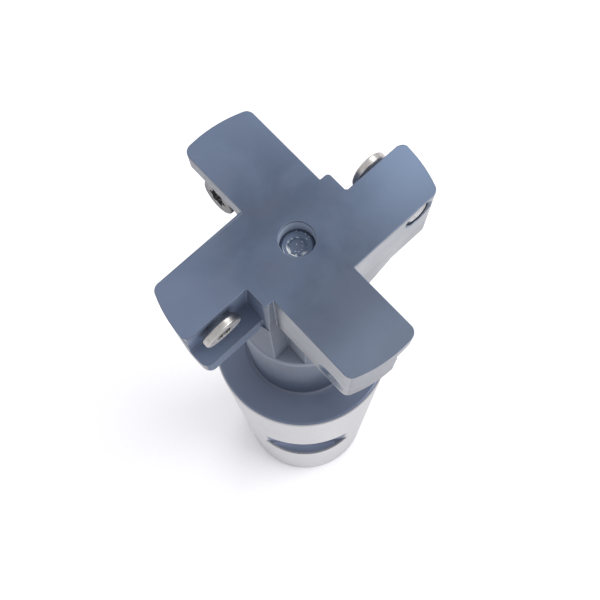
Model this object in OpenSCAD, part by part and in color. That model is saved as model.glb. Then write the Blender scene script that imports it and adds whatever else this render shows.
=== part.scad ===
// Indexable slot milling cutter: a four-arm cross head on a stub arbor with a Weldon shank.
// Millimetres. Origin at the centre of the shank's end face, +Z along the axis to the cutting face.
// The arms lie along +X, +Y, -X and -Y. Seen from the cutting face the tool turns anticlockwise,
// so each arm's leading face is on its anticlockwise side.

/* [Overall] */
// Diameter over the arm tips
cutter_d = 46; // [42:1:50]
// Length from the shank end to the cutting face
total_len = 192; // [180:1:210]

/* [Arbor] */
// Diameter of the ground shank
shank_d = 40; // [36:0.5:44]
// Length of the ground shank, up to the shoulder face
shank_len = 122; // [100:1:124]
// Diameter of the neck between the shoulder and the head
neck_d = 24.6; // [24:0.2:27]
// Radius of the fillet where the neck meets the shoulder
neck_fillet = 0.6; // [0.4:0.2:3]
// Chamfer at both ends of the shank
shank_chamfer = 1.2; // [0.4:0.2:2]
// Chamfer on the rim of the neck's end face
neck_chamfer = 0.4; // [0.2:0.1:0.8]
// Length of the clamping flat along the axis
flat_len = 29; // [18:0.5:32]
// Distance from the shank end to the near end of the flat
flat_from_end = 53.5; // [30:0.5:60]
// Depth of the clamping flat below the shank's surface
flat_depth = 3.8; // [2:0.2:5.6]
// Direction the clamping flat faces, in degrees from +X
flat_angle = -131; // [-160:1:-100]
// Corner radius of the clamping flat's outline
flat_corner = 11; // [2:0.5:12]

/* [Cross head] */
// Length of the hub from the neck's end face to the cutting face
hub_len = 39; // [30:1:44]
// Thickness of the arms along the axis
arm_t = 16; // [14:0.5:20]
// Distance of an arm's trailing face from the radial line
trail_off = 9.2; // [8.8:0.1:10]
// Distance of an arm's full leading face from the radial line
lead_off = 3.2; // [2.8:0.1:4]
// Distance of the thicker root of the top-pocket arms from the radial line
root_off = 4.7; // [4:0.1:5.2]
// Distance of the hub's leading walls from the radial line, below the arms
hub_lead = 4.7; // [4:0.1:5.2]
// Distance of the hub's trailing walls from the radial line, below the low-pocket arms
hub_trail = 7.4; // [6.4:0.1:9.2]
// Height of the cone under the roots of the top-pocket arms
root_cone = 4.5; // [2:0.5:6]
// Radius of the upright edges of the arm tips
tip_round = 1.5; // [0.4:0.1:2]

/* [Insert pockets] */
// Distance of a pocket's floor from the radial line, at the arm's open side
floor_off = 0.6; // [0.3:0.1:1]
// Distance from the axis to a pocket's end wall
pocket_wall = 10.9; // [10.4:0.1:11.2]
// Thickness of the ledge that closes a pocket on its far side
ledge_t = 4.6; // [3:0.2:5]
// Tilt of the pockets and their screws about the arm's length, in degrees
rake = 6; // [2:1:8]
// Distance from the axis to an insert screw
screw_at = 17.4; // [17:0.1:18]
// Depth of an insert screw's axis below the arm's open side, at the radial line
screw_down = 4.6; // [4.4:0.1:5.6]

/* [Insert screws] */
// Nominal thread diameter of the insert screws
iscrew_d = 5; // [4:0.5:5]
// Diameter of the countersunk head
ihead_d = 7; // [6.4:0.1:7.2]
// Distance of the head's outer face from the radial line, along the screw
ihead_off = 2.4; // [2.2:0.1:3]
// Thickness of the head's cylindrical rim
ihead_rim = 1.2; // [0.3:0.1:1.5]
// Distance the screw's end stops short of the trailing face
iscrew_short = 0.4; // [0.3:0.1:3]
// Depth of the six-lobe socket
isocket_depth = 1.7; // [1.2:0.1:2]

/* [Centre screw and pins] */
// Nominal thread diameter of the centre screw
cscrew_d = 3; // [3:0.5:3.5]
// Diameter of the centre screw's cylindrical head
chead_d = 5.5; // [5.2:0.1:5.6]
// Height of the centre screw's head
chead_h = 3; // [3:0.5:4]
// Depth of the head's top below the cutting face
chead_down = 3.2; // [1:0.1:4]
// Width across the flats of the hexagon socket
hex_af = 2.5; // [2:0.5:2.5]
// Diameter of the lead-in at the mouth of the hexagon socket
hex_lead_d = 3.5; // [3:0.1:4]
// Length of centre screw thread inside the arbor
cscrew_engage = 12; // [8:1:16]
// Diameter of the counterbore in the cutting face
cbore_d = 5.8; // [5.7:0.1:6.4]
// Thickness of the lock washer
washer_t = 1; // [0.8:0.1:1.2]
// Diameter of the locating spigot on the arbor
spigot_d = 12; // [10:0.5:13]
// Height of the locating spigot
spigot_h = 5; // [3:0.5:8]
// Diameter of the drive pins
pin_d = 3; // [2:0.5:3]
// Length of the drive pins
pin_len = 10; // [6:1:12]

/* [Hidden] */
$fn = 96;
eps = 0.01;
thread_gap = 0.03;
tip_r = cutter_d / 2;
shank_r = shank_d / 2;
neck_r = neck_d / 2;
neck_top = total_len - hub_len;
arm_low = total_len - arm_t;
chead_top = total_len - chead_down;
cbore_floor = chead_top - chead_h - washer_t;
cscrew_end = neck_top + spigot_h - cscrew_engage;
pin_at = [8.8, -3.2];
top_arms = [0, 2];
low_arms = [1, 3];
oxide = "#5f6c82";
ground = "#d4d4d2";
bright = "#c4c4c0";

// Puts its children on arm n, counted anticlockwise from +X.
module on_arm(n) {
    rotate([0, 0, 90 * n]) children();
}

// Height at which the axis of the insert screw on arm n crosses the radial line.
function screw_z(n) = n % 2 == 0 ? total_len - screw_down : arm_low + screw_down;

// Which side the pocket on arm n opens to: 1 for the cutting face, -1 for the shank.
function screw_side(n) = n % 2 == 0 ? 1 : -1;

// Outline of one arm along +X, with its tip corners rounded.
module arm_outline() {
    difference() {
        intersection() {
            circle(tip_r);
            translate([0, -trail_off]) square([tip_r, trail_off + lead_off]);
        }
        tip_corner(trail_off, -1);
        tip_corner(lead_off, 1);
    }
}

// Waste outside the rounding of a tip corner at distance off from the radial line, on side s.
module tip_corner(off, s) {
    cy = s * (off - tip_round);
    cx = sqrt(pow(tip_r - tip_round, 2) - cy * cy);
    difference() {
        polygon([[cx, cy], [cx, s * (off + 1)], [tip_r + 1, s * (off + 1)],
                 [tip_r + 1, cy * (tip_r + 1) / cx]]);
        translate([cx, cy]) circle(tip_round);
    }
}

// Cross-section of the four arms and the core between them.
module cross_outline() {
    for (n = [0 : 3]) rotate(90 * n) arm_outline();
}

// Cross-section of the hub below the arms; it is set back under the low-pocket arms.
module hub_outline() {
    intersection() {
        circle(neck_r - neck_chamfer);
        union() {
            for (n = top_arms) rotate(90 * n) hub_wing(trail_off);
            for (n = low_arms) rotate(90 * n) hub_wing(hub_trail);
        }
    }
}

// Wing of the hub under the arm along +X, with its trailing wall at distance off.
module hub_wing(off) {
    translate([0, -off]) square([tip_r, off + hub_lead]);
}

// Cone under the root of the arm along +X.
module root_flare() {
    intersection() {
        translate([0, 0, arm_low - root_cone])
            cylinder(r1 = neck_r - neck_chamfer, r2 = neck_r + root_cone * 0.8, h = root_cone + eps);
        translate([0, -trail_off, neck_top]) cube([tip_r, trail_off, hub_len]);
    }
}

// Insert pocket cut in the leading side of the arm along +X, with its open side at height z.
// The side s is 1 for a pocket open to the cutting face and -1 for one open to the shank.
module pocket_cut(z, s) {
    deep = arm_t - ledge_t;
    translate([pocket_wall, floor_off, z]) rotate([-s * rake, 0, 0])
        translate([0, 0, s > 0 ? -deep : -arm_t]) cube([tip_r, tip_r / 2, deep + arm_t]);
}

// Tapped hole through an arm along +X for the insert screw that crosses the radial line at height z.
module insert_hole(z, s) {
    translate([screw_at, 0, z]) rotate([90 - s * rake, 0, 0]) {
        translate([0, 0, -2]) cylinder(d = iscrew_d + 2 * thread_gap, h = trail_off + 4);
        translate([0, 0, trail_off - 0.4]) cylinder(r1 = iscrew_d / 2, r2 = iscrew_d / 2 + 0.9, h = 0.9);
    }
}

// Shank, shoulder, neck and spigot, turned from one bar.
module arbor() {
    color(ground) difference() {
        union() {
            rotate([0, 0, flat_angle - 67.5]) rotate_extrude() arbor_profile();
            translate([0, 0, neck_top - eps]) cylinder(d = spigot_d - 0.04, h = spigot_h + eps);
        }
        rotate([0, 0, flat_angle]) translate([shank_r - flat_depth, 0, flat_from_end])
            rotate([90, 0, 90]) linear_extrude(shank_r) flat_outline();
        centre_drilling();
        translate([0, 0, cscrew_end - 1.5])
            cylinder(d = cscrew_d + 2 * thread_gap, h = cscrew_engage + 2.5);
        for (a = [0, 180]) rotate([0, 0, a]) translate([pin_at[0], pin_at[1], neck_top - pin_len / 2])
            cylinder(d = pin_d, h = pin_len);
    }
}

// Half-section of the turned body, with its shank chamfers, neck fillet and neck rim chamfer.
module arbor_profile() {
    polygon([[0, 0], [shank_r - shank_chamfer, 0], [shank_r, shank_chamfer],
             [shank_r, shank_len - shank_chamfer / 2], [shank_r - shank_chamfer / 2, shank_len],
             [0, shank_len]]);
    polygon([[0, shank_len - 1], [neck_r, shank_len - 1], [neck_r, neck_top - neck_chamfer],
             [neck_r - neck_chamfer, neck_top], [0, neck_top]]);
    translate([neck_r, shank_len]) difference() {
        translate([-eps, -eps]) square(neck_fillet + eps);
        translate([neck_fillet, neck_fillet]) circle(neck_fillet);
    }
}

// Outline of the clamping flat, from its end nearest the shank end, with rounded corners.
module flat_outline() {
    half = sqrt(flat_depth * (shank_d - flat_depth)) + 0.6;
    c = min(flat_corner, half - 0.5, flat_len / 2 - 0.5);
    translate([-half, c]) square([half * 2, flat_len - c * 2]);
    translate([c - half, 0]) square([half * 2 - c * 2, flat_len]);
    for (x = [c - half, half - c], y = [c, flat_len - c]) translate([x, y]) circle(c);
}

// Centre drilling in the shank's end face.
module centre_drilling() {
    translate([0, 0, -eps]) cylinder(r1 = 4.2, r2 = 1.6, h = 4.5);
    cylinder(r = 1.6, h = 8);
}

// Cross head with four staggered insert pockets; it sits on the neck and is centred by the spigot.
module cutter_head() {
    color(oxide) difference() {
        union() {
            translate([0, 0, arm_low]) linear_extrude(arm_t) cross_outline();
            translate([0, 0, neck_top]) linear_extrude(hub_len - arm_t + 1) hub_outline();
            for (n = top_arms) on_arm(n) {
                translate([trail_off - 1, 0, arm_low]) cube([pocket_wall - trail_off + 1, root_off, arm_t]);
                root_flare();
            }
        }
        for (n = top_arms) on_arm(n) pocket_cut(total_len, 1);
        for (n = low_arms) on_arm(n) pocket_cut(arm_low, -1);
        for (n = [0 : 3]) on_arm(n) insert_hole(screw_z(n), screw_side(n));
        translate([0, 0, cbore_floor]) cylinder(d = cbore_d, h = total_len);
        translate([0, 0, neck_top - 1]) cylinder(d = cscrew_d + 0.4, h = hub_len);
        translate([0, 0, neck_top - 1]) cylinder(d = spigot_d, h = spigot_h + 1.5);
        for (a = [0, 180]) rotate([0, 0, a]) translate([pin_at[0], pin_at[1], neck_top - 1])
            cylinder(d = pin_d, h = pin_len / 2 + 1.2);
    }
}

// Drive pin across the joint between the neck and the head.
module drive_pin(a) {
    color(bright) rotate([0, 0, a]) translate([pin_at[0], pin_at[1], neck_top - pin_len / 2])
        rotate_extrude() polygon([[0, 0], [pin_d / 2 - 0.3, 0], [pin_d / 2, 0.3],
            [pin_d / 2, pin_len - 0.3], [pin_d / 2 - 0.3, pin_len], [0, pin_len]]);
}

// Split spring washer under the centre screw's head.
module lock_washer() {
    color(bright) translate([0, 0, cbore_floor]) difference() {
        cylinder(d = chead_d - 0.1, h = washer_t);
        translate([0, 0, -1]) cylinder(d = cscrew_d + 0.2, h = washer_t + 2);
        rotate([0, 20, 0]) translate([0, -0.35, -washer_t * 2]) cube([chead_d, 0.7, washer_t * 5]);
    }
}

// Socket-head screw that holds the head down on the arbor.
module centre_screw() {
    color(oxide) difference() {
        union() {
            translate([0, 0, chead_top - chead_h]) rotate_extrude() polygon([[0, 0], [chead_d / 2, 0],
                [chead_d / 2, chead_h - 0.4], [chead_d / 2 - 0.4, chead_h], [0, chead_h]]);
            translate([0, 0, cscrew_end]) rotate_extrude() polygon([[0, 0], [cscrew_d / 2 - 0.5, 0],
                [cscrew_d / 2, 0.5], [cscrew_d / 2, chead_top - chead_h - cscrew_end + eps],
                [0, chead_top - chead_h - cscrew_end + eps]]);
        }
        translate([0, 0, chead_top - 2]) cylinder(d = hex_af / cos(30), h = 3, $fn = 6);
        translate([0, 0, chead_top - 2.5]) cylinder(r1 = 0, r2 = hex_af / 2, h = 0.5 + eps);
        translate([0, 0, chead_top - 0.4]) cylinder(r1 = hex_af / 2, r2 = hex_lead_d / 2, h = 0.4 + eps);
    }
}

// Six-lobe socket outline.
module lobe_outline() {
    circle(1.42);
    for (a = [0 : 60 : 300]) rotate(a) translate([1.48, 0]) circle(0.42);
}

// Countersunk insert screw, drawn along +Z with its head's outer face at z = 0.
module insert_screw_body() {
    r = iscrew_d / 2;
    hr = ihead_d / 2;
    seat = ihead_off - 0.1;
    len = ihead_off + trail_off - iscrew_short;
    difference() {
        rotate_extrude() polygon([[0, 0], [hr - 0.25, 0], [hr, -0.25], [hr, -ihead_rim], [r, -seat],
            [r, -len + 0.6], [r - 0.6, -len], [0, -len]]);
        translate([0, 0, -isocket_depth]) linear_extrude(isocket_depth + 1) lobe_outline();
        translate([0, 0, -isocket_depth - 0.5]) cylinder(r1 = 0.3, r2 = 1.3, h = 0.5 + eps);
    }
}

// Insert screw on arm n, standing in its pocket.
module insert_screw(n) {
    color(bright) on_arm(n) translate([screw_at, 0, screw_z(n)]) rotate([-90 - screw_side(n) * rake, 0, 0])
        translate([0, 0, ihead_off]) insert_screw_body();
}

arbor();
cutter_head();
drive_pin(0);  // drive_pin_1
drive_pin(180);  // drive_pin_2
lock_washer();
centre_screw();
insert_screw(0);  // insert_screw_1
insert_screw(1);  // insert_screw_2
insert_screw(2);  // insert_screw_3
insert_screw(3);  // insert_screw_4
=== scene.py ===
import math

import bmesh
import bpy
from mathutils import Matrix, Vector


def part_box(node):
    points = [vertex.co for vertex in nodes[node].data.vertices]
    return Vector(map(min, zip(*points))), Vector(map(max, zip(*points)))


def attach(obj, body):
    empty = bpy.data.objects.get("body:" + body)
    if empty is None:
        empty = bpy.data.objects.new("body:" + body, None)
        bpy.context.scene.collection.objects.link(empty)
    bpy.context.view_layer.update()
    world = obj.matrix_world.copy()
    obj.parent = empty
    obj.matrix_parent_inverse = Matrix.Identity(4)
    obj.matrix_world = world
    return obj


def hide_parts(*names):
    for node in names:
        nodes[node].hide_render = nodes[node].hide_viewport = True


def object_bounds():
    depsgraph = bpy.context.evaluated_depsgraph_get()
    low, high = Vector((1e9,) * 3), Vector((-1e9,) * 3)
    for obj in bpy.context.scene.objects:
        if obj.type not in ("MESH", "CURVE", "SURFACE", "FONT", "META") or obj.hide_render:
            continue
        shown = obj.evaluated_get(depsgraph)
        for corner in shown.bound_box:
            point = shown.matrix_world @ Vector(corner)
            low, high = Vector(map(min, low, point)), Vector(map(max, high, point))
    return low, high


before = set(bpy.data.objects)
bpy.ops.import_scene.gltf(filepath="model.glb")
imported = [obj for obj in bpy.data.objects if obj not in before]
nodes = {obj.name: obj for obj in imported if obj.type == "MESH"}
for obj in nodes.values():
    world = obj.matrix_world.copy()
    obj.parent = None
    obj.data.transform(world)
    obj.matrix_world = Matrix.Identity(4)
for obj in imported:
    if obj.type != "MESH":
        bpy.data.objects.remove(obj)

MM = 0.001
scene = bpy.context.scene
cad_lo, cad_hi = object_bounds()


# ---------------------------------------------------------------- sizes, as in the part's source
TOP = cad_hi.z                                # cutting face
NECK_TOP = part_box("cutter_head")[0].z         # joint of neck and head
SHANK_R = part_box("arbor")[1].x
TIP_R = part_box("cutter_head")[1].x            # reach of the arms
NECK_R = 12.3 * MM
SHOULDER = TOP - 70 * MM                      # where the shank ends and the neck starts
ARM_LOW = TOP - 16 * MM                       # underside of the arms
POCKET_WALL = 10.9 * MM                       # end walls of the pockets, from the axis
ROOT_OFF = 4.7 * MM                           # roots of the top-pocket arms, from the radial line

ISCREW_AT = 17.4 * MM                         # insert screws, from the axis
ISCREW_DOWN = 4.6 * MM                        # and from the open side of their pockets
ISCREW_TILT = math.radians(6)
IHEAD_OFF = 2.4 * MM                          # outer face of their heads, from the radial line
ISCREW_R = 2.5 * MM
ISCREW_PITCH = 0.8 * MM
CHEAD_TOP = TOP - 3.2 * MM                    # outer face of the centre screw's head


# ---------------------------------------------------------------- camera
# Where the photo was taken from, with the picture's right and up directions in the object's frame.
SENSOR = 36.0                                 # millimetres, as the lens
LENS = 52.933
EYE = Vector((-28.166, -33.476, 127.036)) * MM      # from the middle of the cutting face
cam_right = Vector((0.732948, -0.680155, -0.013318))
cam_up = Vector((0.659512, 0.705630, 0.259097))

cam_data = bpy.data.cameras.new("camera")
cam_data.sensor_width = SENSOR
cam_data.lens = LENS
cam_data.clip_start = 0.01
cam_data.clip_end = 20.0
cam = bpy.data.objects.new("camera", cam_data)
scene.collection.objects.link(cam)
cam_back = cam_right.cross(cam_up).normalized()
cam_place = Matrix((cam_right, cam_up, cam_back)).transposed().to_4x4()
cam_place.translation = Vector((0, 0, TOP)) + EYE
cam.matrix_world = cam_place
scene.camera = cam


# ---------------------------------------------------------------- node helpers
class Tree:
    """Short hand for building one material's nodes."""

    def __init__(self, name):
        self.mat = bpy.data.materials.new(name)
        self.mat.use_nodes = True
        self.nt = self.mat.node_tree
        self.nt.nodes.clear()
        out = self.node("ShaderNodeOutputMaterial")
        self.bsdf = self.node("ShaderNodeBsdfPrincipled")
        self.nt.links.new(self.bsdf.outputs[0], out.inputs[0])
        self.coord = self.node("ShaderNodeTexCoord").outputs["Object"]

    def node(self, kind, **props):
        n = self.nt.nodes.new(kind)
        for k, v in props.items():
            setattr(n, k, v)
        return n

    def put(self, socket, value):
        if hasattr(value, "links"):
            self.nt.links.new(value, socket)
        else:
            socket.default_value = value

    def finish(self, colour, rough, metallic, normal):
        """Sets the surface, and gives the material back."""
        self.put(self.bsdf.inputs["Base Color"], colour)
        self.put(self.bsdf.inputs["Roughness"], rough)
        self.put(self.bsdf.inputs["Metallic"], metallic)
        self.put(self.bsdf.inputs["Normal"], normal)
        return self.mat

    def math(self, op, a, b):
        n = self.node("ShaderNodeMath", operation=op)
        self.put(n.inputs[0], a)
        self.put(n.inputs[1], b)
        return n.outputs[0]

    def times(self, a, b):
        return self.math("MULTIPLY", a, b)

    def wave(self, value, length):
        return self.math("SINE", self.times(value, 2 * math.pi / length), 0.0)

    def noise(self, scale, detail, rough, coord=None, distortion=0.0):
        n = self.node("ShaderNodeTexNoise")
        self.put(n.inputs["Vector"], coord or self.coord)
        n.inputs["Scale"].default_value = scale
        n.inputs["Detail"].default_value = detail
        n.inputs["Roughness"].default_value = rough
        n.inputs["Distortion"].default_value = distortion
        return n.outputs["Fac"]

    def stretch(self, sx, sy, sz, turn=0.0):
        """Coordinates stretched along each axis, and turned about Z by this many radians."""
        n = self.node("ShaderNodeMapping")
        self.put(n.inputs["Vector"], self.coord)
        n.inputs["Scale"].default_value = (sx, sy, sz)
        n.inputs["Rotation"].default_value = (0, 0, turn)
        return n.outputs[0]

    def ramp(self, value, lo, hi, to_lo=0.0, to_hi=1.0):
        n = self.node("ShaderNodeMapRange")
        n.interpolation_type = "SMOOTHSTEP"
        self.put(n.inputs["Value"], value)
        n.inputs["From Min"].default_value = lo
        n.inputs["From Max"].default_value = hi
        n.inputs["To Min"].default_value = to_lo
        n.inputs["To Max"].default_value = to_hi
        return n.outputs["Result"]

    def mix(self, fac, a, b):
        n = self.node("ShaderNodeMix", data_type="RGBA")
        self.put(n.inputs["Factor"], fac)
        for sock, value in ((n.inputs[6], a), (n.inputs[7], b)):
            self.put(sock, value if hasattr(value, "links") else (*value, 1.0))
        return n.outputs[2]

    def blend(self, fac, a, b):
        n = self.node("ShaderNodeMix", data_type="FLOAT")
        self.put(n.inputs["Factor"], fac)
        self.put(n.inputs[2], a)
        self.put(n.inputs[3], b)
        return n.outputs[0]

    def bump(self, height, distance, strength, normal=None):
        n = self.node("ShaderNodeBump")
        self.put(n.inputs["Height"], height)
        n.inputs["Distance"].default_value = distance
        n.inputs["Strength"].default_value = strength
        if normal:
            self.put(n.inputs["Normal"], normal)
        return n.outputs[0]

    def xyz(self, vector=None):
        n = self.node("ShaderNodeSeparateXYZ")
        self.put(n.inputs[0], vector or self.coord)
        return n.outputs

    def radius(self):
        """Distance from the tool's axis."""
        x, y, _ = self.xyz()
        return self.math("SQRT", self.math("ADD", self.times(x, x), self.times(y, y)), 0.0)

    def level(self):
        """1 where the surface is square to the tool's axis, and 0 where it is upright."""
        geo = self.node("ShaderNodeNewGeometry")
        return self.math("ABSOLUTE", self.xyz(geo.outputs["True Normal"])[2], 0.0)


# ---------------------------------------------------------------- finishes
def oxide_parts(t):
    """Blued black oxide over machined steel: colour, roughness, and a fine grain for the bump."""
    cloud = t.ramp(t.noise(95, 4, 0.6, distortion=0.4), 0.32, 0.68)
    fine = t.noise(1400, 3, 0.6)
    colour = t.mix(cloud, (0.086, 0.114, 0.167), (0.106, 0.138, 0.198))
    warm = t.ramp(t.noise(230, 3, 0.6), 0.45, 0.75)
    colour = t.mix(t.times(warm, 0.30), colour, (0.120, 0.122, 0.160))
    rough = t.math("ADD", t.ramp(cloud, 0.0, 1.0, 0.30, 0.36), t.times(fine, 0.08))
    return colour, rough, fine


def black_oxide():
    """Cutting face and undersides of the head: faint turned rings, and a lighter blue to the ends
    of the arms as a painted reflection.

    Each arm has its own painted light and shade, as in the photo; arms are numbered as their insert
    screws are.
    """
    t = Tree("black_oxide")
    colour, rough, fine = oxide_parts(t)
    x, y, _ = t.xyz()
    radius = t.radius()
    scuff = t.ramp(t.noise(1.0, 3, 0.7, coord=t.stretch(260, 3400, 260, 0.6)), 0.66, 0.74)
    painted_reflection_ends = t.ramp(radius, 7 * MM, 23 * MM, 0.0, 0.75)
    painted_light_arm_1 = t.ramp(x, 6 * MM, 24 * MM, 0.0, 0.6)
    painted_light_arm_4_end = t.ramp(y, -24 * MM, -9 * MM, 0.8, 0.0)
    painted_shade_arm_4_middle = t.times(t.ramp(y, -13 * MM, -3 * MM, 0.4, 0.0), t.ramp(y, -20 * MM, -13 * MM))
    painted_light_arm_3 = t.ramp(x, -24 * MM, -4 * MM, 0.6, 0.0)
    colour = t.mix(t.times(scuff, 0.10), colour, (0.20, 0.22, 0.26))
    # painted reflection: lighter blue further out along the arms; then painted light and shade on
    # each arm
    colour = t.mix(painted_reflection_ends, colour, (0.155, 0.200, 0.290))
    colour = t.mix(painted_light_arm_1, colour, (0.195, 0.262, 0.375))
    colour = t.mix(painted_light_arm_4_end, colour, (0.150, 0.180, 0.232))
    colour = t.mix(painted_shade_arm_4_middle, colour, (0.085, 0.100, 0.120))
    colour = t.mix(painted_light_arm_3, colour, (0.165, 0.205, 0.288))
    n = t.bump(fine, 0.02 * MM, 0.25)
    n = t.bump(t.wave(radius, 0.42 * MM), 0.002 * MM, 0.25, n)
    return t.finish(colour, rough, 0.85, n)


def side_oxide(name, painted_tone, metallic, smooth, edge_tint):
    """Milled walls of the head: the tone and edge tint given are painted light and shade for that
    kind of face; darker low down on the arms and just under the cutting face.
    """
    t = Tree(name)
    colour, rough, fine = oxide_parts(t)
    z = t.xyz()[2]
    low = t.ramp(z, TOP - 11.0 * MM, TOP - 10.7 * MM, 0.45, 0.0)
    brim = t.ramp(z, TOP - 0.9 * MM, TOP - 0.4 * MM, 0.0, 0.75)
    # painted light and shade: the given tone stands for how lit this kind of face is
    colour = t.mix(0.8, colour, painted_tone)
    colour = t.mix(low, colour, tuple(c * 0.6 for c in painted_tone))
    colour = t.mix(brim, colour, (0.075, 0.092, 0.130))
    mill = t.noise(1.0, 2, 0.5, coord=t.stretch(140, 140, 1500))
    n = t.bump(fine, 0.015 * MM, 0.2)
    n = t.bump(mill, 0.01 * MM, 0.25, n)
    t.bsdf.inputs["Specular Tint"].default_value = (*edge_tint, 1.0)
    return t.finish(colour, t.math("SUBTRACT", rough, smooth), metallic, n)


def rubbed_oxide(name, amount, metallic):
    """Oxide that is rubbed thin, so that the steel starts to show."""
    t = Tree(name)
    colour, rough, fine = oxide_parts(t)
    worn = t.ramp(t.noise(420, 4, 0.7), 0.36, 0.66)
    colour = t.mix(t.times(worn, amount), colour, (0.30, 0.32, 0.36))
    return t.finish(colour, rough, metallic, t.bump(fine, 0.02 * MM, 0.4))


def tapped_wall(name, axis):
    """Wall of a tapped hole that runs nearly along this axis: thread grooves as bands across it,
    with painted shade in the grooves.
    """
    t = Tree(name)
    colour, rough, _ = oxide_parts(t)
    saw = t.math("PINGPONG", t.math("DIVIDE", t.xyz()[axis], ISCREW_PITCH), 0.5)
    # painted shade: the thread's grooves coloured dark
    colour = t.mix(t.ramp(saw, 0.1, 0.4), (0.05, 0.055, 0.07), colour)
    return t.finish(colour, rough, 0.85, t.bump(saw, 0.5 * MM, 0.8))


def arbor_steel():
    """Ground shank, with black oxide left on the neck, shoulder, flat and end."""
    t = Tree("arbor_steel")
    colour, rough, fine = oxide_parts(t)
    x, y, z = t.xyz()
    radius, level = t.radius(), t.level()

    # ground shank, with painted shade on the photo's right side; the grinding fades out at the
    # flat's edges
    ground = t.math("GREATER_THAN", radius, SHANK_R - 0.30 * MM)
    flat_zone = t.math("LESS_THAN", z, NECK_TOP - 50 * MM)
    shallow = t.ramp(radius, SHANK_R - 0.75 * MM, SHANK_R - 0.10 * MM)
    ground = t.math("MAXIMUM", ground, t.times(flat_zone, shallow))
    lines = t.noise(1.0, 3, 0.6, coord=t.stretch(70, 70, 5200))
    stains = t.ramp(t.noise(60, 3, 0.5), 0.5, 0.75, 0.0, 0.25)
    shaded_right_side = t.math("SUBTRACT", t.times(x, 0.73), t.times(y, 0.68))
    steel = t.mix(t.ramp(lines, 0.3, 0.7), (0.37, 0.37, 0.385), (0.45, 0.45, 0.465))
    steel = t.mix(stains, steel, (0.34, 0.335, 0.34))
    # painted shade: the ground steel darker towards the camera's right
    steel = t.mix(t.ramp(shaded_right_side, 4 * MM, 19 * MM, 0.0, 0.85), steel, (0.255, 0.255, 0.268))

    # oxide on everything else, by place: a lighter rim; shoulder, flat and seat lifted as painted
    # light; painted shade in the crease at the neck's foot
    neck_end = t.math("GREATER_THAN", z, NECK_TOP - 0.5 * MM)
    rim = t.times(neck_end, t.math("GREATER_THAN", radius, NECK_R - 0.6 * MM))
    seat = t.times(level, neck_end)
    shoulder = t.times(level, t.math("LESS_THAN", z, NECK_TOP - 10 * MM))
    # painted shade in the crease where the neck meets the shoulder
    neck_crease_shade = t.times(t.ramp(radius, NECK_R + 0.2 * MM, NECK_R + 1.3 * MM, 1.0, 0.0),
                    t.ramp(z, SHOULDER + 0.2 * MM, SHOULDER + 1.4 * MM, 1.0, 0.0))
    colour = t.mix(t.times(rim, 0.8), colour, (0.30, 0.31, 0.35))
    colour = t.mix(t.times(shoulder, 0.8), colour, (0.150, 0.178, 0.245))
    colour = t.mix(t.times(flat_zone, 0.9), colour, (0.135, 0.168, 0.250))
    colour = t.mix(neck_crease_shade, colour, (0.085, 0.100, 0.140))
    colour = t.mix(seat, colour, (0.225, 0.250, 0.315))
    dull = t.math("MAXIMUM", t.math("MAXIMUM", flat_zone, seat), neck_crease_shade)

    # turning marks round the neck and across the level faces
    turned = t.times(t.wave(z, 0.30 * MM), t.math("SUBTRACT", 1.0, level))
    faced = t.times(t.wave(radius, 0.35 * MM), level)
    marks = t.times(t.math("ADD", turned, faced), t.math("SUBTRACT", 1.0, ground))
    n = t.bump(fine, 0.02 * MM, 0.3)
    n = t.bump(t.times(lines, ground), 0.012 * MM, 0.6, n)
    n = t.bump(marks, 0.006 * MM, 0.6, n)

    ground_rough = t.ramp(lines, 0.25, 0.75, 0.24, 0.36)
    rough = t.blend(ground, t.blend(dull, rough, 0.55), ground_rough)
    metallic = t.blend(ground, t.blend(dull, 0.85, 0.30), 1.0)
    return t.finish(t.mix(ground, colour, steel), rough, metallic, n)


def bright_steel(name, tint, rough_lo, rough_hi):
    """Bright hardened steel with slight brown tempering and wear."""
    t = Tree(name)
    cloud = t.noise(900, 4, 0.6, distortion=0.6)
    fine = t.noise(6000, 2, 0.5)
    dirt = t.ramp(t.noise(700, 3, 0.6), 0.55, 0.75, 0.0, 0.35)
    colour = t.mix(t.ramp(cloud, 0.35, 0.65), tint, tuple(c * 0.80 for c in tint))
    colour = t.mix(dirt, colour, (0.30, 0.25, 0.20))
    rough = t.ramp(cloud, 0.3, 0.7, rough_lo, rough_hi)
    return t.finish(colour, rough, 1.0, t.bump(fine, 0.01 * MM, 0.4))


def cap_screw_finish(name, worn):
    """Oiled oxide of the centre screw with bright specks; where worn is 1, bright areas on one side
    as a painted highlight.
    """
    t = Tree(name)
    colour, rough, fine = oxide_parts(t)
    x, y, _ = t.xyz()
    specks = t.ramp(t.noise(2300, 2, 0.5), 0.64, 0.69)
    # painted highlight: bright areas on one side only, where worn is 1
    highlight_side = t.ramp(t.math("ADD", t.times(x, -0.85), t.times(y, -0.52)), 0.2 * MM, 1.1 * MM)
    highlight_patches = t.times(t.ramp(t.noise(700, 3, 0.6), 0.40, 0.50), highlight_side)
    colour = t.mix(0.7, colour, (0.150, 0.195, 0.280))
    colour = t.mix(specks, colour, (0.75, 0.78, 0.80))
    colour = t.mix(t.times(highlight_patches, worn), colour, (0.85, 0.87, 0.85))
    return t.finish(colour, t.math("ADD", rough, 0.15), 0.35, t.bump(fine, 0.02 * MM, 0.4))


def floor_paper():
    """White paper with a faint fibre."""
    t = Tree("floor_paper")
    fibre = t.noise(900, 4, 0.6)
    colour = t.mix(fibre, (0.90, 0.90, 0.91), (0.94, 0.94, 0.94))
    t.bsdf.inputs["Specular IOR Level"].default_value = 0.2
    return t.finish(colour, 0.75, 0.0, t.bump(fibre, 0.02 * MM, 0.3))


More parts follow.
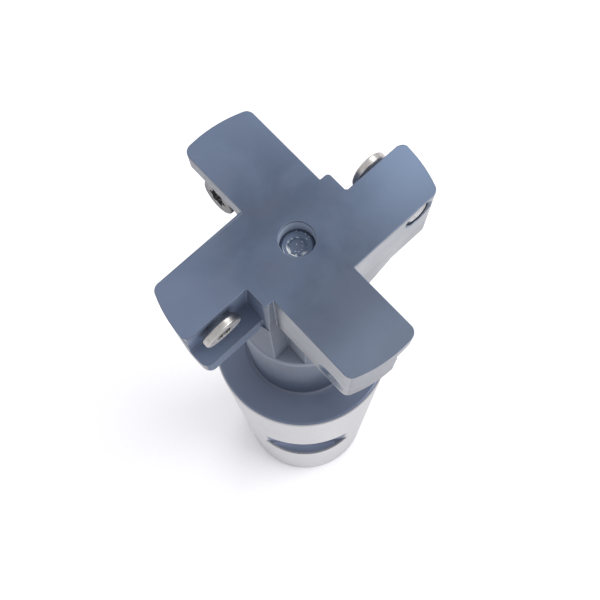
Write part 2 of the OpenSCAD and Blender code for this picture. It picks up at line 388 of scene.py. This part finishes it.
oxide = black_oxide()
edge = rubbed_oxide("rubbed_edge", 0.10, 0.4)
ring = rubbed_oxide("rubbed_ring", 0.8, 0.9)
wall_y = tapped_wall("tapped_wall_y", 1)
wall_x = tapped_wall("tapped_wall_x", 0)
# painted light and shade: a tone per kind of wall, lighter on trailing sides, arm ends and bore,
# darker in pockets and round the hub
trail_mat = side_oxide("trailing_oxide_painted_light", (0.270, 0.280, 0.300), 0.85, 0.04, (1.0, 1.0, 1.0))
tip_mat = side_oxide("tip_oxide_painted_light", (0.240, 0.248, 0.275), 0.85, 0.0, (0.9, 0.9, 0.9))
pocket_mat = side_oxide("pocket_oxide_painted_shade", (0.170, 0.215, 0.310), 0.55, -0.10, (0.38, 0.40, 0.46))
hub_mat = side_oxide("hub_oxide_painted_shade", (0.181, 0.203, 0.256), 0.25, -0.20, (0.30, 0.31, 0.35))
bore_mat = side_oxide("bore_oxide_painted_light", (0.430, 0.500, 0.610), 0.10, -0.20, (0.30, 0.31, 0.35))
arbor_mat = arbor_steel()
screw_mat = bright_steel("screw_steel", (0.50, 0.485, 0.465), 0.26, 0.38)
socket_mat = bright_steel("socket_steel", (0.32, 0.31, 0.30), 0.40, 0.50)
thread_mat = bright_steel("thread_steel", (0.46, 0.46, 0.47), 0.30, 0.45)
# painted shade: the screws in the pockets that open downwards get a much darker head steel
shaded_low_screw_mat = bright_steel("low_screw_steel_painted_shade", (0.17, 0.165, 0.170), 0.30, 0.44)
low_socket_mat = bright_steel("low_socket_steel", (0.34, 0.34, 0.34), 0.34, 0.44)
low_thread_mat = bright_steel("low_thread_steel", (0.22, 0.23, 0.26), 0.34, 0.50)
pin_mat = bright_steel("pin_steel", (0.66, 0.66, 0.66), 0.18, 0.28)
cap_mat = cap_screw_finish("cap_screw_oxide", 0.0)
# painted highlight for the mouth of the centre screw's socket
cap_highlight = cap_screw_finish("cap_screw_painted_highlight", 1.0)


# ---------------------------------------------------------------- mesh helpers
def link(name, mesh, mats):
    """Puts a mesh in the scene as an object with these materials."""
    obj = bpy.data.objects.new(name, mesh)
    scene.collection.objects.link(obj)
    for m in mats:
        mesh.materials.append(m)
    return obj


def into_mesh(name, bm):
    """Writes an edit mesh into a new mesh, and frees it."""
    mesh = bpy.data.meshes.new(name)
    bm.to_mesh(mesh)
    bm.free()
    return mesh


def clean_copy(node):
    """Copy of a CAD node's mesh with its flat faces joined up again."""
    bm = bmesh.new()
    bm.from_mesh(nodes[node].data)
    bmesh.ops.remove_doubles(bm, verts=bm.verts, dist=0.0005 * MM)
    bmesh.ops.dissolve_limit(bm, angle_limit=math.radians(0.4), verts=bm.verts, edges=bm.edges)
    for f in bm.faces:
        f.material_index = 0
    return bm


def mark_edges(bm, skip, angle=30):
    """Marks the sharp edges to be rounded: all but those that pass the test skip(middle, edge)."""
    weight = bm.edges.layers.float.new("bevel_weight_edge")
    bm.normal_update()
    for e in bm.edges:
        if len(e.link_faces) == 2 and e.calc_face_angle() > math.radians(angle):
            if not skip((e.verts[0].co + e.verts[1].co) / 2, e):
                e[weight] = 1.0


def rounded(obj, width, segments=3, edge_material=0, angle=30, limit="ANGLE"):
    """Rounds an object's sharp or marked edges and keeps its flat faces flat."""
    obj.data.polygons.foreach_set("use_smooth", [True] * len(obj.data.polygons))
    obj.data.set_sharp_from_angle(angle=math.radians(angle))
    b = obj.modifiers.new("edges", "BEVEL")
    b.width = width
    b.segments = segments
    b.limit_method = limit
    b.angle_limit = math.radians(angle)
    b.harden_normals = True
    b.use_clamp_overlap = False
    b.material = edge_material
    b.miter_outer = "MITER_ARC"
    w = obj.modifiers.new("normals", "WEIGHTED_NORMAL")
    w.keep_sharp = True
    w.weight = 80


def bake_inside(obj, limit):
    """Keeps the rounded mesh itself, with no vertex further out along X or Y than limit."""
    graph = bpy.context.evaluated_depsgraph_get()
    mesh = bpy.data.meshes.new_from_object(obj.evaluated_get(graph), depsgraph=graph)
    obj.modifiers.clear()
    obj.data = mesh
    for v in mesh.vertices:
        v.co.x = max(-limit, min(limit, v.co.x))
        v.co.y = max(-limit, min(limit, v.co.y))


def true_cylinder(mesh, radius):
    """Gives the upright faces at this radius the normals of an exact cylinder."""
    normals = [n.vector.copy() for n in mesh.corner_normals]
    for face in mesh.polygons:
        if abs(face.normal.z) < 0.05 and face.center.xy.length > radius - 0.1 * MM:
            for i in face.loop_indices:
                at = mesh.vertices[mesh.loops[i].vertex_index].co
                normals[i] = Vector((at.x, at.y, 0.0)).normalized()
    mesh.normals_split_custom_set(normals)


def fill_socket(bm, place, radius, deepest, level):
    """Fills a screw's socket with grit and oil up to this level, measured from the head's face."""
    back = place.inverted()
    low = set()
    for v in bm.verts:
        p = back @ v.co
        if math.hypot(p.x, p.y) < radius and deepest < p.z < level:
            low.add(v)
            v.co = place @ Vector((p.x, p.y, level))
    floor_faces = [f for f in bm.faces if all(v in low for v in f.verts)]
    bmesh.ops.delete(bm, geom=floor_faces, context="FACES")
    bmesh.ops.holes_fill(bm, edges=[e for e in bm.edges if e.is_boundary], sides=0)
    bmesh.ops.recalc_face_normals(bm, faces=bm.faces)


def thread_shell(bm, place, radius, depth, pitch, start, end, material, around=40, per_turn=10):
    """Closed threaded shaft along local Z from start to end, as one helical height field."""
    flank = 1.35                    # steepness of the thread's sides, which leaves flat crests
    run_out = per_turn * 0.6        # rings over which the thread fades at its far end
    count = int(round((start - end) / pitch * per_turn))
    rings = []
    for i in range(count + 1):
        z = start + (end - start) * i / count
        fade = min(1.0, i / per_turn, (count - i) / run_out)
        ring_verts = []
        for k in range(around):
            a = 2 * math.pi * k / around
            phase = (z / pitch + k / around) % 1.0
            wave = abs(2 * phase - 1)
            r = radius - depth * (1 - min(1.0, wave * flank)) - (1 - fade) * depth * 0.9
            at = place @ Vector((r * math.cos(a), r * math.sin(a), z))
            ring_verts.append(bm.verts.new(at))
        rings.append(ring_verts)
    faces = []
    for lower, upper in zip(rings, rings[1:]):
        for k in range(around):
            j = (k + 1) % around
            faces.append(bm.faces.new((lower[k], upper[k], upper[j], lower[j])))
    faces.append(bm.faces.new(rings[0]))
    faces.append(bm.faces.new(list(reversed(rings[-1]))))
    for f in faces:
        f.smooth = True
        f.material_index = material


def opens_up(n):
    """Whether pocket n, counted from 0 at +X, opens to the cutting face or else to the shank."""
    return n % 2 == 0


def screw_place(n):
    """Insert screw n's own frame: its head's outer face at z = 0, pointing along +Z."""
    side = 1 if opens_up(n) else -1
    height = TOP - ISCREW_DOWN if opens_up(n) else ARM_LOW + ISCREW_DOWN
    return (Matrix.Rotation(math.pi / 2 * n, 4, "Z")
            @ Matrix.Translation((ISCREW_AT, 0, height))
            @ Matrix.Rotation(-math.pi / 2 - side * ISCREW_TILT, 4, "X")
            @ Matrix.Translation((0, 0, IHEAD_OFF)))


# ---------------------------------------------------------------- cutter head
FACE, EDGE, TAPPED_Y, TAPPED_X, RING, TRAILING, TIP, POCKET, HUB, BORE = range(10)
head_mats = [oxide, edge, wall_y, wall_x, ring, trail_mat, tip_mat, pocket_mat, hub_mat, bore_mat]
arm_dirs = [Vector((1, 0, 0)), Vector((0, 1, 0)), Vector((-1, 0, 0)), Vector((0, -1, 0))]
holes = [screw_place(n).inverted() for n in range(4)]
NEAR = 0.02 * MM                    # how close a point has to be to count as on a corner
BORE_REACH = 4 * MM                 # faces nearer the axis than this are in the middle hole


def round_uprights(bm, wanted, offset):
    """Rounds the sharp upright edges of the head whose two ends pass the test wanted(point)."""
    bm.normal_update()
    picked = []
    for e in bm.edges:
        a, b = (v.co for v in e.verts)
        upright = abs(a.z - b.z) > 0.9 * e.calc_length() and e.calc_length() > 3 * MM
        if upright and len(e.link_faces) == 2 and e.calc_face_angle() > math.radians(50):
            if wanted(a) and wanted(b):
                picked.append(e)
    bmesh.ops.bevel(bm, geom=picked, offset=offset, offset_type="OFFSET", segments=6, profile=0.5,
                    affect="EDGES", clamp_overlap=False)


def at_tip(p):
    return p.xy.length > TIP_R - 0.05 * MM


def at_boss(p):
    corner = abs(abs(p.x) - POCKET_WALL) < NEAR and abs(abs(p.y) - ROOT_OFF) < NEAR
    return corner and p.z > ARM_LOW - 0.1 * MM


def at_pocket_corner(p):
    return abs(abs(p.x) - POCKET_WALL) < NEAR and abs(p.y) < 1 * MM and p.z > ARM_LOW + 1 * MM


def at_hole(p, e):
    return any(f.material_index in (TAPPED_Y, TAPPED_X, RING) for f in e.link_faces)


def hole_face_kind(c, n):
    """Material index of a face of an insert screw's hole, or None elsewhere."""
    for i, hole in enumerate(holes):
        p, m = hole @ c, hole.to_3x3() @ n
        r = math.hypot(p.x, p.y)
        if ISCREW_R - 0.2 * MM < r < ISCREW_R + 0.06 * MM and abs(m.z) < 0.2:
            return TAPPED_Y if i % 2 == 0 else TAPPED_X
        if ISCREW_R < r < ISCREW_R + 1.0 * MM and p.z < -10 * MM and abs(m.z) < 0.9:
            return RING
    return None


def head_face_kind(f):
    """Material index of one face of the head, by where it is and which way it faces."""
    c, n = f.calc_center_median(), f.normal
    kind = hole_face_kind(c, n)
    if kind is not None:
        return kind
    if c.xy.length < BORE_REACH and abs(n.z) < 0.9:
        return BORE
    if c.z < ARM_LOW - 0.5 * MM:
        return HUB
    arm = max(range(4), key=lambda k: c.dot(arm_dirs[k]))
    along, side = arm_dirs[arm], arm_dirs[(arm + 1) % 4]
    if n.dot(side) < -0.7:
        return TRAILING
    if c.xy.length > TIP_R - 0.3 * MM and abs(n.z) < 0.5:
        return TIP
    if opens_up(arm) and c.dot(along) > 10 * MM and c.z < TOP - 0.1 * MM and c.dot(side) < 4 * MM:
        if max(n.dot(side), n.dot(along), n.z) > 0.7:
            return POCKET
    if abs(n.z) > 0.7:
        return FACE
    if c.dot(along) < POCKET_WALL + 0.1 * MM:
        return HUB
    return POCKET if n.dot(side) > 0.3 and opens_up(arm) else TIP


bm = clean_copy("cutter_head")
round_uprights(bm, at_tip, 1.3 * MM)
round_uprights(bm, at_boss, 0.7 * MM)
round_uprights(bm, at_pocket_corner, 0.35 * MM)
bm.normal_update()
for f in bm.faces:
    f.material_index = head_face_kind(f)
mark_edges(bm, at_hole)
head = link("head_visual", into_mesh("head_visual", bm), head_mats)
rounded(head, 0.13 * MM, edge_material=EDGE, limit="WEIGHT")
bake_inside(head, TIP_R)
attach(head, "tool")
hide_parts("cutter_head")


# ---------------------------------------------------------------- arbor
def stays_sharp(p, e):
    """Edges of the clamping flat, and of the fillet between neck and shoulder."""
    at_flat = 2 * MM < p.z < SHOULDER - 2 * MM
    at_fillet = p.xy.length < NECK_R + 1 * MM and abs(p.z - SHOULDER) < 1 * MM
    return at_flat or at_fillet


ARBOR_SHARP = 42                    # degrees; the flat's edges are at 36, the chamfers' at 45

bm = clean_copy("arbor")
mark_edges(bm, stays_sharp, ARBOR_SHARP)
arbor = link("arbor_visual", into_mesh("arbor_visual", bm), [arbor_mat])
rounded(arbor, 0.18 * MM, angle=ARBOR_SHARP, limit="WEIGHT")
bake_inside(arbor, SHANK_R)
true_cylinder(arbor.data, SHANK_R)
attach(arbor, "tool")
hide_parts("arbor")


# ---------------------------------------------------------------- insert screws
# Depths are along the screw, from the head's outer face.
HEAD_END = -2.5 * MM                # below the head and the bottom of its socket
SOCKET_R = 1.9 * MM                 # reach of the socket's six lobes
GRIT_LEVEL = -0.9 * MM
CORE_R = 1.8 * MM                   # the CAD shaft is drawn in to this, inside the thread
THREAD_DEPTH = 0.42 * MM
THREAD_TOP = -2.25 * MM
THREAD_END = -11.18 * MM
SCREW_SOCKET, SCREW_THREAD = 1, 2   # their materials' indices; the head's is 0


def insert_screw(n):
    node = "insert_screw_%d" % (n + 1)
    place = screw_place(n)
    back = place.inverted()
    bm = clean_copy(node)
    fill_socket(bm, place, SOCKET_R, HEAD_END, GRIT_LEVEL)
    for f in bm.faces:
        p = back @ f.calc_center_median()
        if math.hypot(p.x, p.y) < SOCKET_R + 0.1 * MM and -2.3 * MM < p.z < -0.01 * MM:
            f.material_index = SCREW_SOCKET
        elif p.z < -9 * MM:
            f.material_index = SCREW_THREAD
    for v in bm.verts:
        p = back @ v.co
        if p.z < HEAD_END and math.hypot(p.x, p.y) > CORE_R + 0.05 * MM:
            shrink = CORE_R / math.hypot(p.x, p.y)
            v.co = place @ Vector((p.x * shrink, p.y * shrink, p.z + 0.1 * MM))
    thread_shell(bm, place, ISCREW_R, THREAD_DEPTH, ISCREW_PITCH, THREAD_TOP, THREAD_END,
                 SCREW_THREAD)
    mats = [shaded_low_screw_mat, low_socket_mat, low_thread_mat]
    if opens_up(n):
        mats = [screw_mat, socket_mat, thread_mat]
    obj = link(node + "_visual", into_mesh(node + "_visual", bm), mats)
    rounded(obj, 0.07 * MM, 2)
    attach(obj, node + "_body")
    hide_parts(node)


for n in range(4):
    insert_screw(n)


# ---------------------------------------------------------------- centre screw, washer, pins
HEX_R = 1.5 * MM                    # over the corners of the hexagon socket, with some room
HEX_END = -2.8 * MM                 # below the socket's bottom
HEX_LEAD_R = 1.7 * MM               # middle of the lead-in round the socket's mouth, with some room
HEX_GRIT_LEVEL = -0.55 * MM
CAP_HIGHLIGHT = 1                        # index of the material with the painted highlight


def fill_hexagon(bm):
    """Fills the centre screw's hexagon socket, and gives what is left of its walls the painted
    highlight.
    """
    fill_socket(bm, Matrix.Translation((0, 0, CHEAD_TOP)), HEX_R, HEX_END, HEX_GRIT_LEVEL)
    for f in bm.faces:
        c = f.calc_center_median()
        if c.xy.length < HEX_LEAD_R and CHEAD_TOP - 0.5 * MM < c.z < CHEAD_TOP - 0.02 * MM:
            f.material_index = CAP_HIGHLIGHT


def carried_over(node, body, mats, width, rework=None, edge_material=0):
    """Copies a CAD node, reworks it if asked, and rounds its edges."""
    bm = clean_copy(node)
    if rework:
        rework(bm)
    obj = link(node + "_visual", into_mesh(node + "_visual", bm), mats)
    rounded(obj, width, 2, edge_material)
    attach(obj, body)
    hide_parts(node)


carried_over("centre_screw", "centre_screw_body", [cap_mat, cap_highlight], 0.05 * MM,
             fill_hexagon, CAP_HIGHLIGHT)
carried_over("lock_washer", "washer_body", [screw_mat], 0.06 * MM)
carried_over("drive_pin_1", "tool", [pin_mat], 0.06 * MM)
carried_over("drive_pin_2", "tool", [pin_mat], 0.06 * MM)


# ---------------------------------------------------------------- floor and light
FLOOR_HALF = 3.0                    # metres

bm = bmesh.new()
bmesh.ops.create_grid(bm, x_segments=8, y_segments=8, size=FLOOR_HALF)
floor = link("floor", into_mesh("floor", bm), [floor_paper()])
floor.location.z = cad_lo.z

world = bpy.data.worlds.new("studio")
scene.world = world
world.use_nodes = True
sky = world.node_tree.nodes["Background"]
sky.inputs["Color"].default_value = (0.975, 0.965, 1.0, 1.0)
sky.inputs["Strength"].default_value = 0.92


def softbox(name, offset, size, power):
    """Square area light, at offset from the middle of the tool and aimed there; metres, watts."""
    data = bpy.data.lights.new(name, "AREA")
    data.shape = "SQUARE"
    data.size = size
    data.energy = power
    obj = bpy.data.objects.new(name, data)
    scene.collection.objects.link(obj)
    aim = Vector((0, 0, TOP * 0.5))
    obj.location = aim + Vector(offset)
    obj.rotation_mode = "QUATERNION"
    obj.rotation_quaternion = (aim - obj.location).to_track_quat("-Z", "Y")


softbox("key", (0.66, -0.58, 0.74), 0.9, 9.5)
softbox("side", (0.85, 0.45, 0.95), 0.5, 3.0)

scene.view_settings.view_transform = "Standard"
scene.view_settings.look = "None"
